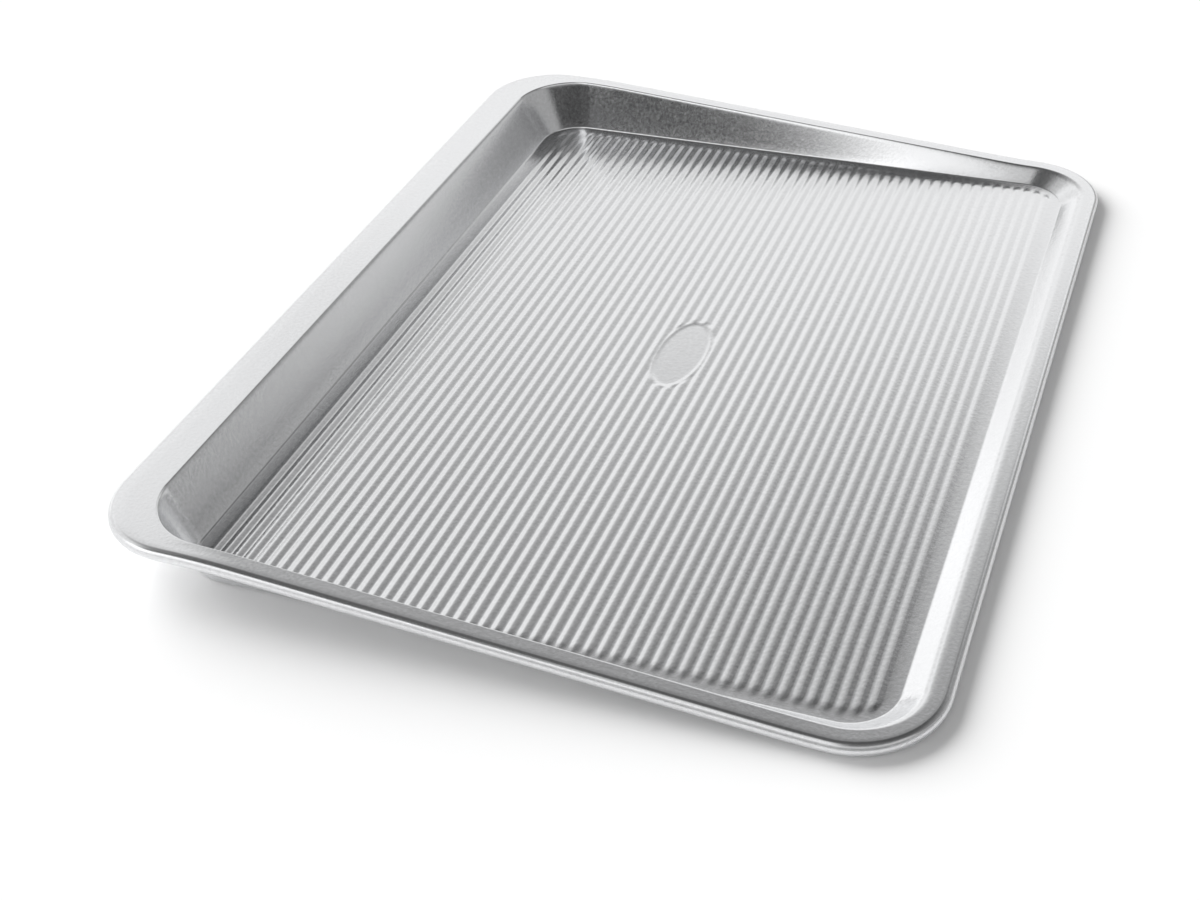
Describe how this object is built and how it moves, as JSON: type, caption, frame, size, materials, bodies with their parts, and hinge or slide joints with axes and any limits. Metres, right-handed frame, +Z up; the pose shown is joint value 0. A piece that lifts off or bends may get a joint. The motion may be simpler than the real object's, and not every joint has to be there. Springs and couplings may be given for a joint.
{
  "type": "cookie sheet",
  "caption": "Shallow corrugated metal baking sheet whose sloped walls fall from a tall side with a wide grip flange to a low slide-off side, its edge rolled round a wire.",
  "frame": {"origin": "on the table, under the middle of the rim", "axes": "+X from the tall grip side to the low slide-off side, +Y along the floor's ridges, +Z up"},
  "size_m": [0.35, 0.46, 0.0264],
  "materials": {
    "aluminised_steel": "satin",
    "bare_wire": "dull"
  },
  "bodies": {
    "root": {"pan_sheet": "aluminised_steel", "rim_wire": "bare_wire"}
  },
  "joints": []
}
